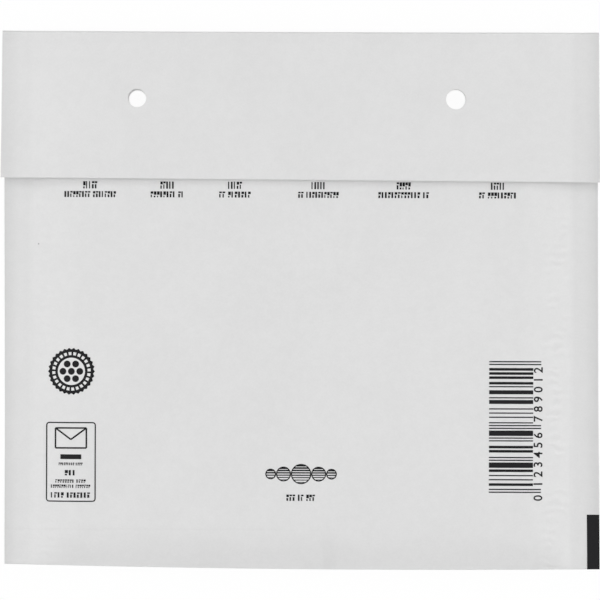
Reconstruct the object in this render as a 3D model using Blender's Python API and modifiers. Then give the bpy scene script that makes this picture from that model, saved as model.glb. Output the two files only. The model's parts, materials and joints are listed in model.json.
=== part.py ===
"""Padded envelope: a folded paper mailer with a bubble-film liner, its flap folded down.

Metres, +Z up. The envelope lies on its address face, rear face and flap up. X runs across the
width, +Y points to the flap's fold, and the origin is at the middle of the base, on the surface
that the envelope lies on.
"""
import math

import bmesh
import bpy
import numpy as np
from mathutils import Matrix

# Paper, as cut and folded
BODY_WIDTH = 0.200
BODY_HEIGHT = 0.180
FLAP_DEPTH = 0.0497
FLAP_FLARE = 0.0006  # how far the flap's free edge stands past the body, each side
PAPER = 0.00025
SEAM_WIDTH = 0.0092
SEAM_DEPTH = 0.0008  # over both papers, at the glued sides and at the bottom fold
GLUE_SETBACK = 0.0005
MOUTH_SETBACK = 0.008  # from the flap's fold down to the edge of the rear panel
SIDE_RISE = 0.012  # run over which the paper climbs from a side seam onto the padding
BOTTOM_RISE = 0.013
FOLD_RADIUS = 0.0009
CREASE_DIP = 0.0004  # how far the flap lies lower at its fold
CREASE_RUN = 0.0035
FLAP_SIDE_DIP = 0.0020  # how far the flap sags over the side seams
FLAP_SKEW = 0.0053  # slope of the flap's free edge, which isn't quite square to the sides

# Bubble-film liner
FILM = 0.0003
POCKET_GAP = 0.0004
LINER_SETBACK = 0.002  # from the mouth down to the liner's own mouth
LINER_SEAL = 0.004
BUBBLE_DIAMETER = 0.010
BUBBLE_TOP = 0.0068
BUBBLE_HEIGHT = 0.0025
BUBBLE_PITCH = 0.0125
BUBBLE_SIDES = 6
LEAST_BUBBLE = 0.0010

# Closing strip on the flap's inner face
ADHESIVE = 0.00015
RELEASE_PAPER = 0.00015
STRIP_MARGIN = 0.003  # from the flap's free edge, and from the punched holes
STRIP_END = 0.002
FINGER_LIFT = 0.001  # how far the cover strip stands past the adhesive, top and bottom

# Punched holes
HOLE_DIAMETER = 0.0065
HOLE_SPACING = 0.1068
HOLE_DROP = 0.0226  # from the flap's fold
HOLE_SHIFT = -0.0015  # middle of the pair, from the middle of the envelope
FLAP_SLIP = 0.0002  # the flap's holes lie this far to the left of the body's

CLEARANCE = 0.0003
EASE_STEPS = 6
FOLD_STEPS = 6
CLIMB_STEPS = 8
HOLE_SIDES = 32
ROOM_CHECKS = 12  # points round a bubble where the room above it is read

# Worked out from the values above
HALF_WIDTH = BODY_WIDTH / 2
TOP_Y = BODY_HEIGHT / 2
BOTTOM_Y = -BODY_HEIGHT / 2
MOUTH_Y = TOP_Y - MOUTH_SETBACK
FREE_EDGE_Y = TOP_Y - FLAP_DEPTH
SEAM_HALF = SEAM_DEPTH / 2
SEAM_INNER_X = HALF_WIDTH - SEAM_WIDTH
PAD_X = SEAM_INNER_X - SIDE_RISE
FOLD_Y = BOTTOM_Y + SEAM_HALF
PAD_Y = BOTTOM_Y + BOTTOM_RISE
POUCH_HALF = PAPER + CLEARANCE + BUBBLE_HEIGHT + FILM + POCKET_GAP / 2
MID_Z = POUCH_HALF
FLAP_GAP = 3 * CLEARANCE + ADHESIVE + RELEASE_PAPER
FLAP_Z = MID_Z + POUCH_HALF + FLAP_GAP + PAPER
FILM_HALF = FILM + POCKET_GAP / 2
HOLE_Y = TOP_Y - HOLE_DROP
HOLE_XS = (HOLE_SHIFT - HOLE_SPACING / 2, HOLE_SHIFT + HOLE_SPACING / 2)


def ease(t):
    """0 to 1 along half a cosine wave, level at both ends."""
    return (1 - np.cos(math.pi * np.clip(t, 0, 1))) / 2


def ease_inverse(share):
    """Where along its run the ease reaches a share of its height."""
    return math.acos(1 - 2 * share) / math.pi


def side_share(x):
    """0 over a side seam, 1 over the padding."""
    return ease((SEAM_INNER_X - np.abs(x)) / SIDE_RISE)


def pouch_half(x, y):
    """Half the thickness over both papers, which meet at the seams and at the bottom fold."""
    share = np.minimum(side_share(x), ease((y - FOLD_Y) / (PAD_Y - FOLD_Y)))
    return SEAM_HALF + (POUCH_HALF - SEAM_HALF) * share


def flap_height(x):
    """Height of the flap's outer face away from its fold."""
    return FLAP_Z - FLAP_SIDE_DIP * (1 - side_share(x))


def stations(edge_x):
    """Places across the width: the two edges, and steps where the paper climbs from the seams."""
    climb = np.linspace(SEAM_INNER_X, PAD_X, EASE_STEPS + 1)
    right = np.concatenate([[edge_x], climb])
    return np.concatenate([-right, right[::-1]])


def paper_path(x):
    """The paper's outer face at one station, from the rear panel's mouth to the flap's free edge.

    Returns an array of points: down the rear panel, round the bottom fold, up the address panel,
    round the flap's fold and down the flap.
    """
    taper_y = np.linspace(PAD_Y, FOLD_Y, EASE_STEPS + 1)
    half = pouch_half(x, taper_y)
    rear = np.column_stack([taper_y, MID_Z + half])
    turn = np.linspace(0, math.pi, FOLD_STEPS + 1)[1:-1]
    bottom = np.column_stack([FOLD_Y - SEAM_HALF * np.sin(turn), MID_Z + SEAM_HALF * np.cos(turn)])
    address = np.column_stack([taper_y[::-1], MID_Z - half[::-1]])
    base_z = MID_Z - half[0]

    flap_z = float(flap_height(x))
    crease_z = flap_z - CREASE_DIP - FOLD_RADIUS
    climb = np.linspace(0, math.pi / 2, CLIMB_STEPS + 1)
    rise_z = base_z + (crease_z - base_z) * (1 - np.cos(climb))
    rise = np.column_stack([MOUTH_Y + MOUTH_SETBACK * np.sin(climb), rise_z])
    arc = np.linspace(0, math.pi / 2, FOLD_STEPS + 1)[1:]
    arc_y = TOP_Y - FOLD_RADIUS
    fold = np.column_stack([arc_y + FOLD_RADIUS * np.cos(arc), crease_z + FOLD_RADIUS * np.sin(arc)])
    share = np.linspace(0, 1, EASE_STEPS + 1)[1:]
    dip = np.column_stack([arc_y - CREASE_RUN * share, flap_z - CREASE_DIP * (1 - ease(share))])

    mouth = [[MOUTH_Y, MID_Z + half[0]]]
    free_edge = [[FREE_EDGE_Y - FLAP_SKEW * x, flap_z]]
    yz = np.concatenate([mouth, rear, bottom, address, rise, fold, dip, free_edge])
    on_flap = np.zeros(len(yz))
    flap_points = len(dip) + len(free_edge)
    on_flap[-flap_points:] = (TOP_Y - yz[-flap_points:, 0]) / FLAP_DEPTH
    across = x * (1 + on_flap * FLAP_FLARE / HALF_WIDTH)
    return np.column_stack([across, yz])


def collection(name):
    """A new collection, linked to the scene."""
    made = bpy.data.collections.new(name)
    bpy.context.scene.collection.children.link(made)
    return made


def finish(name, colour, roughness, alpha=1.0):
    """A Principled BSDF material."""
    made = bpy.data.materials.new(name)
    made.use_nodes = True
    shader = made.node_tree.nodes["Principled BSDF"]
    shader.inputs["Base Color"].default_value = (*colour, 1.0)
    shader.inputs["Roughness"].default_value = roughness
    shader.inputs["Metallic"].default_value = 0.0
    shader.inputs["Alpha"].default_value = alpha
    return made


def link_mesh(name, bm, into, material=None):
    """An object that takes over the faces of bm."""
    mesh = bpy.data.meshes.new(name)
    bm.to_mesh(mesh)
    bm.free()
    made = bpy.data.objects.new(name, mesh)
    into.objects.link(made)
    if material:
        mesh.materials.append(material)
    return made


def sheet(name, rows, wall, into, material):
    """An open sheet over rows of points, outer face first, with its wall added inwards."""
    bm = bmesh.new()
    grid = [[bm.verts.new(point) for point in row] for row in rows]
    for row, after in zip(grid, grid[1:]):
        for j in range(len(row) - 1):
            bm.faces.new((row[j], row[j + 1], after[j + 1], after[j]))
    made = link_mesh(name, bm, into, material)
    shell = made.modifiers.new("wall", "SOLIDIFY")
    shell.thickness = wall
    shell.offset = -1.0
    shell.use_even_offset = True
    return made


def add_block(bm, low, high):
    """A box between two corners."""
    size = [b - a for a, b in zip(low, high)]
    centre = [(a + b) / 2 for a, b in zip(low, high)]
    place = Matrix.Translation(centre) @ Matrix.Diagonal((*size, 1.0))
    bmesh.ops.create_cube(bm, size=1.0, matrix=place)


def add_cone(bm, centre, z_low, z_high, low_diameter, high_diameter, sides):
    """A closed cone or cylinder between two heights."""
    place = Matrix.Translation((centre[0], centre[1], (z_low + z_high) / 2))
    bmesh.ops.create_cone(bm, cap_ends=True, segments=sides, radius1=low_diameter / 2,
                          radius2=high_diameter / 2, depth=z_high - z_low, matrix=place)


def combine(target, tool, operation, name):
    """A Boolean modifier on target that joins or cuts it with tool."""
    step = target.modifiers.new(name, "BOOLEAN")
    step.operation = operation
    step.solver = "EXACT"
    step.object = tool


def guide(made):
    """A shape that only cuts or joins another, and isn't a piece itself."""
    made.hide_render = True
    made.display_type = "WIRE"
    return made


def seam_glue(into):
    """The glue lines that join both papers down the two sides."""
    bm = bmesh.new()
    half = SEAM_HALF - PAPER / 2
    for side in (-1, 1):
        ends = sorted((side * SEAM_INNER_X, side * (HALF_WIDTH - GLUE_SETBACK)))
        add_block(bm, (ends[0], FOLD_Y, MID_Z - half), (ends[1], MOUTH_Y - GLUE_SETBACK, MID_Z + half))
    return guide(link_mesh("seam_glue", bm, into))


def hole_punch(into):
    """Two round cutters for the body's layers, and two for the flap that lies over them."""
    bm = bmesh.new()
    between = MID_Z + POUCH_HALF + FLAP_GAP / 2
    for x in HOLE_XS:
        body = (x + FLAP_SLIP / 2, HOLE_Y)
        flap = (x - FLAP_SLIP / 2, HOLE_Y - FLAP_SKEW * x)
        add_cone(bm, body, -PAPER, between, HOLE_DIAMETER, HOLE_DIAMETER, HOLE_SIDES)
        add_cone(bm, flap, between + CLEARANCE / 2, FLAP_Z + PAPER, HOLE_DIAMETER, HOLE_DIAMETER, HOLE_SIDES)
    return guide(link_mesh("hole_punch", bm, into))


def liner_outline():
    """Half the width, the lowest and the highest Y that the flat film has room for."""
    share = (FILM_HALF + CLEARANCE + PAPER - SEAM_HALF) / (POUCH_HALF - SEAM_HALF)
    along = ease_inverse(share)
    return SEAM_INNER_X - SIDE_RISE * along, FOLD_Y + (PAD_Y - FOLD_Y) * along, MOUTH_Y - LINER_SETBACK


def bubble_centres(half_width, low_y, high_y):
    """Staggered rows of bubbles that fill the film, with none over a punched hole."""
    radius = BUBBLE_DIAMETER / 2
    row_step = BUBBLE_PITCH * math.sqrt(3) / 2
    rows = int((high_y - low_y - 2 * radius) / row_step)
    first_y = (low_y + high_y - rows * row_step) / 2
    columns = int((half_width - radius) / BUBBLE_PITCH)
    keep_off = radius + HOLE_DIAMETER / 2 + CLEARANCE
    for row in range(rows + 1):
        y = first_y + row * row_step
        shift = (row % 2) / 2
        for column in range(-columns, columns + 1):
            x = (column + shift) * BUBBLE_PITCH
            over_hole = any(math.hypot(x - hole, y - HOLE_Y) < keep_off for hole in HOLE_XS)
            if abs(x) <= half_width - radius and not over_hole:
                yield x, y


def bubble_room(x, y):
    """How high a bubble can stand on the film before it meets the paper."""
    around = np.linspace(0, 2 * math.pi, ROOM_CHECKS, endpoint=False)
    half = pouch_half(x + BUBBLE_TOP / 2 * np.cos(around), y + BUBBLE_TOP / 2 * np.sin(around))
    return float(half.min()) - PAPER - CLEARANCE - FILM_HALF


def bubbles(into, outline):
    """Every bubble of both films, each sunk into its film by half the film's thickness."""
    bm = bmesh.new()
    sink = FILM / 2
    for x, y in bubble_centres(*outline):
        height = min(BUBBLE_HEIGHT, bubble_room(x, y))
        if height < LEAST_BUBBLE:
            continue
        inner, outer = FILM_HALF - sink, FILM_HALF + height
        add_cone(bm, (x, y), MID_Z + inner, MID_Z + outer, BUBBLE_DIAMETER, BUBBLE_TOP, BUBBLE_SIDES)
        add_cone(bm, (x, y), MID_Z - outer, MID_Z - inner, BUBBLE_TOP, BUBBLE_DIAMETER, BUBBLE_SIDES)
    return guide(link_mesh("bubbles", bm, into))


def make_envelope(into, cutters, material):
    """The folded paper: both panels, the glued sides, the bottom fold and the flap."""
    rows = [paper_path(x) for x in stations(HALF_WIDTH)]
    made = sheet("outer_envelope", rows, PAPER, into, material)
    combine(made, seam_glue(cutters), "UNION", "glued_sides")
    combine(made, hole_punch(cutters), "DIFFERENCE", "punched_holes")
    return made


def make_liner(into, cutters, material):
    """The bubble-film pouch: two films sealed at the sides and bottom, bubbles outwards."""
    half_width, low_y, high_y = outline = liner_outline()
    bm = bmesh.new()
    add_block(bm, (-half_width, low_y, MID_Z - FILM_HALF), (half_width, high_y, MID_Z + FILM_HALF))
    made = link_mesh("bubble_liner", bm, into, material)

    bm = bmesh.new()
    slot_x = half_width - LINER_SEAL
    slot_z = POCKET_GAP / 2
    add_block(bm, (-slot_x, low_y + FILM, MID_Z - slot_z), (slot_x, high_y + FILM, MID_Z + slot_z))
    pocket = guide(link_mesh("pocket", bm, cutters))

    combine(made, bubbles(cutters, outline), "UNION", "bubbles")
    combine(made, pocket, "DIFFERENCE", "pocket")
    combine(made, cutters.objects["hole_punch"], "DIFFERENCE", "punched_holes")
    return made


def strip_rows(depth, low_y, high_y):
    """A sheet under the flap, its upper face the given depth under the flap's outer face."""
    edge_x = HALF_WIDTH - STRIP_END
    rows = []
    for x in stations(edge_x):
        z = float(flap_height(x)) - depth
        skew = FLAP_SKEW * x
        rows.append([(x, high_y - skew, z), (x, low_y - skew, z)])
    return rows


def make_closing_strip(into, glue, cover):
    """The adhesive band on the flap's inner face, and the peel-off strip that covers it."""
    low_y = FREE_EDGE_Y + STRIP_MARGIN
    high_y = HOLE_Y - HOLE_DIAMETER / 2 - STRIP_MARGIN
    band_depth = PAPER + CLEARANCE
    band = strip_rows(band_depth, low_y + FINGER_LIFT, high_y - FINGER_LIFT)
    sheet("adhesive_band", band, ADHESIVE, into, glue)
    release = strip_rows(band_depth + ADHESIVE + CLEARANCE, low_y, high_y)
    sheet("release_strip", release, RELEASE_PAPER, into, cover)


def main():
    for old in list(bpy.data.objects):
        bpy.data.objects.remove(old, do_unlink=True)
    parts = collection("padded_envelope")
    cutters = collection("cutters")
    make_envelope(parts, cutters, finish("white_paper", (0.72, 0.72, 0.72), 0.75))
    make_liner(parts, cutters, finish("bubble_film", (0.80, 0.82, 0.83), 0.25, alpha=0.5))
    glue = finish("adhesive", (0.78, 0.74, 0.60), 0.35)
    cover = finish("release_paper", (0.82, 0.84, 0.86), 0.30)
    make_closing_strip(parts, glue, cover)


main()
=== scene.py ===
"""Looks of a small white padded envelope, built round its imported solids.

The envelope lies on its address face with the flap folded down, and the camera looks straight
down on the rear face. Surfaces are worked out with numpy from the sizes in the dataclasses below
and from the solids' boxes, in metres, in the solids' own frame: X across the width, Y towards the
flap's fold, Z up.
"""
import json
import logging
import math
from dataclasses import dataclass
from enum import Enum
from typing import Any, Sequence

import bmesh
import bpy
import numpy as np
from mathutils import Matrix, Vector

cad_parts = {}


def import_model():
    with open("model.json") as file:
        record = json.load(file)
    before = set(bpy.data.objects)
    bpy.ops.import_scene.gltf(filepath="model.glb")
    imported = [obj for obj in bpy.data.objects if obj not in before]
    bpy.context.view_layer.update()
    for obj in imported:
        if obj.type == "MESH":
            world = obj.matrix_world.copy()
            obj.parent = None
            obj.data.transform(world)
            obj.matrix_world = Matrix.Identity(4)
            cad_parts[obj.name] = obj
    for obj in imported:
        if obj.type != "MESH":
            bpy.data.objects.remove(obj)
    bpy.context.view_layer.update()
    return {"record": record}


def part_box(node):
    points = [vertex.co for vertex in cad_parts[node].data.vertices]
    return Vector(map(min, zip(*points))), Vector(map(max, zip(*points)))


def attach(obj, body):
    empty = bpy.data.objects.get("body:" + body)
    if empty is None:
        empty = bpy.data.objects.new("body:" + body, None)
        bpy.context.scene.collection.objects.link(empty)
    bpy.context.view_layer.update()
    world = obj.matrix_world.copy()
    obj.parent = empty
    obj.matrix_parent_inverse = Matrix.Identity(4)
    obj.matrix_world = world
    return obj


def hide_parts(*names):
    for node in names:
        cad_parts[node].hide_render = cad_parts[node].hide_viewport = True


LOG = logging.getLogger("padded_envelope")
BODY = "root"
TURN = 2 * math.pi
SHARP_FOLD = 35.0  # degrees, for paper and film
SHARP_PRINT = 60.0  # degrees, for ink
NOISE_RANGE = (0.3, 0.7)  # where nearly all of a noise lies

Array = np.ndarray
Shell = tuple[Array, Array]
Colour = tuple[float, float, float]
Place = tuple[float, float]
Span = tuple[float, float]
Socket = bpy.types.NodeSocket
Material = bpy.types.Material


class Slot(Enum):
    """The record's material slots."""

    PAPER = "paper"
    FILM = "bubble_film"
    GLUE = "adhesive"
    COVER = "release_paper"


class Node(Enum):
    """The solids that the detailed pieces stand for."""

    PAPER = "outer_envelope"
    LINER = "bubble_liner"
    GLUE = "adhesive_band"
    COVER = "release_strip"


def ease(t: Array) -> Array:
    """Rise from 0 to 1 as half a cosine wave, level at both ends."""
    return (1 - np.cos(math.pi * np.clip(t, 0, 1))) / 2


def round_rise(t: Array, power: float) -> Array:
    """Rise from 0 to 1 as a quarter sine wave to a power: soft or steep at first, level at the end."""
    return np.sin(math.pi / 2 * np.clip(t, 0, 1)) ** power


def bell(distance: Array, width: float) -> Array:
    """One at no distance, falling off as exp(-(distance / width) squared)."""
    return np.exp(-((distance / width) ** 2))


def divide(marks: Sequence[float], steps: Sequence[float]) -> Array:
    """Cut each run between two marks into equal parts no longer than its step.

    Args:
        marks: the ends of the runs, in order.
        steps: the longest part allowed in each run.

    Returns:
        Every place from the first mark to the last.
    """
    runs = [[marks[0]]]
    for start, end, step in zip(marks, marks[1:], steps):
        parts = max(1, math.ceil(abs(end - start) / step))
        runs.append(np.linspace(start, end, parts + 1)[1:])
    return np.concatenate(runs)


def grid_normals(points: Array) -> Array:
    """Unit normals of a grid: its second direction crossed with its first."""
    normal = np.cross(np.gradient(points, axis=1), np.gradient(points, axis=0))
    return normal / np.linalg.norm(normal, axis=-1, keepdims=True)


def quads(*corners: Array) -> Array:
    """Faces from four arrays of corner numbers."""
    return np.stack(corners, axis=-1).reshape(-1, 4)


def thick_sheet(outer: Array, inner: Array, wrap: bool = False) -> Shell:
    """Close the space between two grids of points with quads.

    Args:
        outer: (n, m, 3) points, whose second direction crossed with the first points outwards.
        inner: as many points on the other face.
        wrap: join the last row to the first one.

    Returns:
        The points of one closed shell, and its faces.
    """
    n, m = outer.shape[:2]
    top = np.arange(n * m).reshape(n, m)
    if wrap:
        top = np.concatenate([top, top[:1]])
    low = top + n * m
    faces = [
        quads(top[:-1, :-1], top[:-1, 1:], top[1:, 1:], top[1:, :-1]),
        quads(low[:-1, :-1], low[1:, :-1], low[1:, 1:], low[:-1, 1:]),
        quads(top[:-1, 0], top[1:, 0], low[1:, 0], low[:-1, 0]),
        quads(top[1:, -1], top[:-1, -1], low[:-1, -1], low[1:, -1]),
    ]
    if not wrap:
        faces.append(quads(top[0, 1:], top[0, :-1], low[0, :-1], low[0, 1:]))
        faces.append(quads(top[-1, :-1], top[-1, 1:], low[-1, 1:], low[-1, :-1]))
    return np.concatenate([outer.reshape(-1, 3), inner.reshape(-1, 3)]), np.concatenate(faces)


def make_piece(name: str, shells: Sequence[Shell], material: Material,
               sharp: float = SHARP_FOLD) -> bpy.types.Object:
    """Gather closed shells into one piece that rides on the envelope.

    Args:
        name: the piece's name.
        shells: points and faces of each closed shell, a triangle being a face that repeats a corner.
        material: its finish.
        sharp: edges that turn by more than this many degrees stay sharp.

    Returns:
        The new object, which sits at the origin.
    """
    points = np.concatenate([shell[0] for shell in shells])
    starts = np.cumsum([0] + [len(shell[0]) for shell in shells[:-1]])
    corners = [face for start, shell in zip(starts, shells) for face in (shell[1] + start).tolist()]
    faces = [list(dict.fromkeys(face)) for face in corners]
    mesh = bpy.data.meshes.new(name)
    mesh.from_pydata(points.tolist(), [], faces)
    mesh.materials.append(material)
    mesh.shade_smooth()
    mesh.set_sharp_from_angle(angle=math.radians(sharp))
    made = bpy.data.objects.new(name, mesh)
    bpy.context.scene.collection.objects.link(made)
    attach(made, BODY)
    LOG.info("%s: %d faces", name, len(faces))
    return made


def give(tree: bpy.types.NodeTree, socket: Socket, value: Any) -> None:
    """Link an output to an input, or set the input's own value."""
    if isinstance(value, Socket):
        tree.links.new(value, socket)
    else:
        socket.default_value = value


def add_node(tree: bpy.types.NodeTree, kind: str, inputs: dict[Any, Any] | None = None,
             **settings: Any) -> bpy.types.Node:
    """Add a node to a tree.

    Args:
        tree: the nodes that it is added to.
        kind: the node's type.
        inputs: a value or another node's output for each input socket.
        settings: the node's own properties.

    Returns:
        The new node.
    """
    node = tree.nodes.new(kind)
    for key, value in settings.items():
        setattr(node, key, value)
    for socket, value in (inputs or {}).items():
        give(tree, node.inputs[socket], value)
    return node


class Shading:
    """A Principled material's node tree, with short calls to add nodes to it."""

    def __init__(self, name: str) -> None:
        """Start a material with that name."""
        self.material = bpy.data.materials.new(name)
        self.material.use_nodes = True
        self.tree = self.material.node_tree
        self.shader = self.tree.nodes["Principled BSDF"]
        self.place = self.add("ShaderNodeTexCoord").outputs["Object"]
        self.axes = self.add("ShaderNodeSeparateXYZ", {0: self.place}).outputs

    def add(self, kind: str, inputs: dict[Any, Any] | None = None, **settings: Any) -> bpy.types.Node:
        """Add a node to the material, as add_node() does."""
        return add_node(self.tree, kind, inputs, **settings)

    def sums(self, operation: str, *terms: Any) -> Socket:
        """One step of arithmetic on numbers or outputs."""
        node = self.add("ShaderNodeMath", dict(enumerate(terms)), operation=operation)
        return node.outputs[0]

    def noise(self, scale: float, detail: float = 2.0, rough: float = 0.5) -> Socket:
        """Soft noise about 0.5, with that many features to the metre."""
        node = self.add("ShaderNodeTexNoise", {"Vector": self.place, "Scale": scale, "Detail": detail,
                                               "Roughness": rough})
        return node.outputs["Fac"]

    def remap(self, value: Any, low: float, high: float, to_low: Any, to_high: Any) -> Socket:
        """Carry a range of values to another one, whose ends may be outputs, with smooth ends."""
        node = self.add("ShaderNodeMapRange", {0: value, 1: low, 2: high, 3: to_low, 4: to_high},
                        interpolation_type="SMOOTHSTEP")
        return node.outputs[0]

    def product(self, first: Any, *others: Any) -> Socket:
        """All the terms multiplied together."""
        for other in others:
            first = self.sums("MULTIPLY", first, other)
        return first

    def distance(self, value: Any, centre: float) -> Socket:
        """How far a value is from a centre, to either side."""
        return self.sums("ABSOLUTE", self.sums("SUBTRACT", value, centre))

    def mottle(self, noise: Socket, spread: float) -> Socket:
        """A tone that follows a noise, up to a spread under and over 1."""
        return self.remap(noise, *NOISE_RANGE, 1 - spread, 1 + spread)

    def by_side(self, left: float, right: float, run: float = 0.01) -> Socket:
        """One value on the left half and another on the right, with a short run between them."""
        return self.remap(self.axes[0], -run, run, left, right)

    def shade(self, colour: Colour, tone: Any) -> Socket:
        """A colour made darker or lighter by a tone near 1."""
        node = self.add("ShaderNodeVectorMath", {0: colour, "Scale": tone}, operation="SCALE")
        return node.outputs[0]

    def relief(self, height: Any) -> None:
        """Bump the surface by a height in metres."""
        node = self.add("ShaderNodeBump", {"Height": height, "Distance": 1.0, "Strength": 1.0})
        give(self.tree, self.shader.inputs["Normal"], node.outputs["Normal"])

    def surface(self, **values: Any) -> None:
        """Set the shader's own sockets, named with underscores for spaces."""
        for name, value in values.items():
            give(self.tree, self.shader.inputs[name.replace("_", " ")], value)


@dataclass(frozen=True)
class PaperFinish:
    """White machine-finished paper: faint clouds, fibres, grey flecks and fine puckers, with painted light
    and shade at the seams, flap, crease, wrinkles, groove and dent.

    Scales are features to the metre, and tones and spreads are shares of the paper's lightness.
    Places are those of the seams, the flap and the folds on the finished envelope.
    """

    colour: Colour = (0.763, 0.763, 0.763)
    fleck_colour: Colour = (0.42, 0.42, 0.42)
    roughness: float = 0.72
    roughness_spread: float = 0.04
    gloss: float = 0.10
    cloud_scale: float = 60.0
    cloud_spread: float = 0.010
    formation_scale: float = 380.0
    formation_spread: float = 0.008
    fibre_scale: float = 1500.0
    fibre_spread: float = 0.012
    fibre_height: float = 0.000012
    fleck_scale: float = 55.0
    fleck_size: float = 0.018
    fleck_share: float = 0.08
    pucker_pitch: float = 0.0031
    pucker_height: float = 0.00009
    # the wrinkles' painted light and shade: lighter on their crests, darker in their hollows
    pucker_painted_light_and_shade: float = 0.032
    pucker_middle: float = 0.0857
    pucker_reach: float = 0.0070
    pucker_drift: float = 9.0
    drift_scale: float = 170.0
    patch_scale: float = 120.0
    patch_range: Span = (0.44, 0.62)
    left_pucker: float = 0.3
    pucker_top: float = 0.0400
    pucker_fade: float = 0.004
    fold_line_y: float = -0.0772
    fold_line_half: float = 0.0007
    fold_line_fade: Span = (-0.025, 0.015)
    fold_line_right: float = 0.2
    fold_line_depth: float = 0.00003
    # painted shade in the fold line's groove
    fold_line_painted_shade: float = 0.014
    dent_x: float = 0.0100
    dent_left: Span = (-0.0032, -0.0018)
    dent_right: Span = (0.0, 0.0028)
    dent_top: float = -0.0770
    dent_fade: float = 0.008
    # painted shade in the dent
    dent_painted_shade: float = 0.030
    # painted shade over the side seams, darker again at the cut edges
    seam_step: Span = (0.0896, 0.0924)
    seam_painted_shades: Span = (0.981, 0.957)
    cut_edge: Span = (0.0945, 0.1000)
    cut_edge_painted_shade: float = 0.920
    flap_edge: float = 0.0403
    flap_edge_half: float = 0.0002
    flap_skew: float = 0.0053
    # on the flap only: painted light over the left seam, painted shade over the right ridge, painted light at
    # the crease
    flap_left: Span = (-0.1000, -0.0950)
    flap_left_painted_light: float = 1.022
    flap_ridge: Span = (0.0680, 0.0780)
    flap_seam: Span = (0.0885, 0.0940)
    flap_ridge_painted_shade: float = 0.987
    crease_y: float = 0.0896
    crease_run: float = 0.0008
    crease_painted_light: float = 1.040

    def pucker(self, s: Shading) -> Socket:
        """Short level wrinkles beside the seams, from -1 to 1: a sine of Y in patches, none on the flap."""
        drift = s.sums("MULTIPLY", s.noise(self.drift_scale), self.pucker_drift)
        wave = s.sums("SINE", s.sums("MULTIPLY_ADD", s.axes[1], TURN / self.pucker_pitch, drift))
        off_middle = s.distance(s.sums("ABSOLUTE", s.axes[0]), self.pucker_middle)
        beside_seam = s.remap(off_middle, 0.0, self.pucker_reach, 1.0, 0.0)
        below_flap = s.remap(s.axes[1], self.pucker_top - self.pucker_fade, self.pucker_top, 1.0, 0.0)
        patches = s.remap(s.noise(self.patch_scale, 1.0), *self.patch_range, 0.0, below_flap)
        return s.product(wave, beside_seam, s.by_side(self.left_pucker, 1.0), patches)

    def fold_line(self, s: Shading) -> Socket:
        """One along a faint groove across the left half, where the liner's lower end shows through."""
        groove = s.remap(s.distance(s.axes[1], self.fold_line_y), 0.0, self.fold_line_half, 1.0, 0.0)
        return s.sums("MULTIPLY", groove, s.remap(s.axes[0], *self.fold_line_fade, 1.0, self.fold_line_right))

    def dent(self, s: Shading) -> Socket:
        """One in the short dent that runs up from the bottom fold, steeper on its left side."""
        away = s.sums("SUBTRACT", s.axes[0], self.dent_x)
        left = s.remap(away, *self.dent_left, 0.0, 1.0)
        right = s.remap(away, *self.dent_right, 1.0, 0.0)
        fade = s.remap(s.axes[1], self.dent_top - self.dent_fade, self.dent_top, 1.0, 0.0)
        return s.product(left, right, fade)

    def painted_seam_shade(self, s: Shading) -> Socket:
        """Painted shade over the glued side seams: a little darker there, and darker again at the cut edges.
        """
        out = s.sums("ABSOLUTE", s.axes[0])
        step = s.remap(out, *self.seam_step, 1.0, s.by_side(*self.seam_painted_shades))
        return s.sums("MULTIPLY", step, s.remap(out, *self.cut_edge, 1.0, self.cut_edge_painted_shade))

    def painted_flap_light(self, s: Shading) -> Socket:
        """Painted light and shade on the flap: lighter over the left seam, darker over the right ridge and
        lighter at its crease.
        """
        level = s.sums("MULTIPLY_ADD", s.axes[0], self.flap_skew, s.axes[1])
        low, high = self.flap_edge - self.flap_edge_half, self.flap_edge + self.flap_edge_half
        sides = s.product(
            s.remap(s.axes[0], *self.flap_left, self.flap_left_painted_light, 1.0),
            s.remap(s.axes[0], *self.flap_ridge, 1.0, self.flap_ridge_painted_shade),
            s.remap(s.axes[0], *self.flap_seam, 1.0, 1 / self.flap_ridge_painted_shade),
        )
        crease = s.remap(s.axes[1], self.crease_y - self.crease_run, self.crease_y, 1.0, self.crease_painted_light)
        return s.sums("MULTIPLY", s.remap(level, low, high, 1.0, sides), crease)

    def flecks(self, s: Shading) -> Socket:
        """One inside the few grey specks, which lie in some cells of a Voronoi pattern."""
        cells = s.add("ShaderNodeTexVoronoi", {"Vector": s.place, "Scale": self.fleck_scale},
                      voronoi_dimensions="2D")
        speck = s.remap(cells.outputs["Distance"], self.fleck_size / 2, self.fleck_size, 1.0, 0.0)
        chosen = s.sums("LESS_THAN", cells.outputs["Color"], self.fleck_share)
        return s.sums("MULTIPLY", speck, chosen)

    def material(self, name: str) -> Material:
        """Build the paper's material."""
        s = Shading(name)
        fibre = s.noise(self.fibre_scale, 4.0, 0.6)
        clouds = s.mottle(s.noise(self.cloud_scale, 3.0), self.cloud_spread)
        formation = s.mottle(s.noise(self.formation_scale), self.formation_spread)
        grain = s.mottle(fibre, self.fibre_spread)
        pucker, fold_line = self.pucker(s), self.fold_line(s)
        # painted light and shade on the wrinkles, then painted shade in the fold line's groove and in the
        # dent
        painted_crease_light_and_shade = s.sums("MULTIPLY_ADD", pucker, self.pucker_painted_light_and_shade, 1.0)
        painted_crease_light_and_shade = s.sums("MULTIPLY_ADD", fold_line, -self.fold_line_painted_shade, painted_crease_light_and_shade)
        painted_crease_light_and_shade = s.sums("MULTIPLY_ADD", self.dent(s), -self.dent_painted_shade, painted_crease_light_and_shade)
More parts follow.
